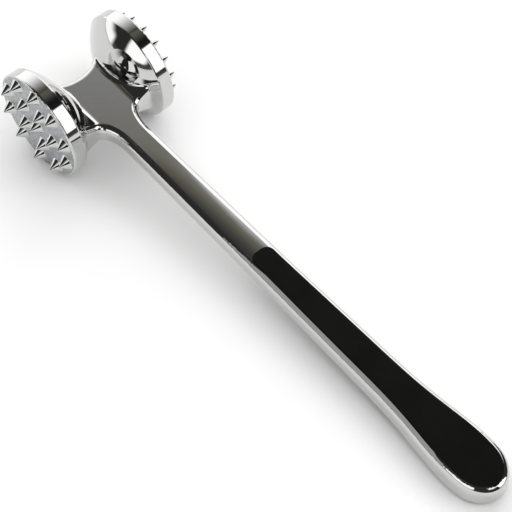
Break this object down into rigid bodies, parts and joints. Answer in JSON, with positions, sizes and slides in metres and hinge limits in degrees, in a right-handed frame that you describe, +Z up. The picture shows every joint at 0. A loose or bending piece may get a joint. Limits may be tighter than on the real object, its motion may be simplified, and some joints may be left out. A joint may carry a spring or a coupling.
{
  "type": "meat mallet",
  "caption": "Chrome-plated cast meat mallet: two spiked striking discs back to back on a web, flat tapering handle, black inlays bonded in both broad faces of the grip.",
  "frame": {"origin": "on the table under the middle of the mallet's box as it lies on both disc rims and the tip of its handle", "axes": "+Z up from the table; the handle points along -Y, sloping down to its tip by 4.4 degrees; +X along the head's axis from the coarse disc to the fine disc"},
  "size_m": [0.0576, 0.247, 0.045],
  "materials": {
    "polished_chrome": "mirror-polished chrome plating on a zinc die casting, satin as cast between the spikes",
    "grip_black": "black moulded plastic, semi-gloss with a fine spark texture",
    "bond_adhesive": "cured adhesive film, satin"
  },
  "bodies": {
    "root": {"mallet_casting": "polished_chrome", "upper_grip_inlay": "grip_black", "lower_grip_inlay": "grip_black", "upper_bond_film": "bond_adhesive", "lower_bond_film": "bond_adhesive"}
  },
  "joints": []
}
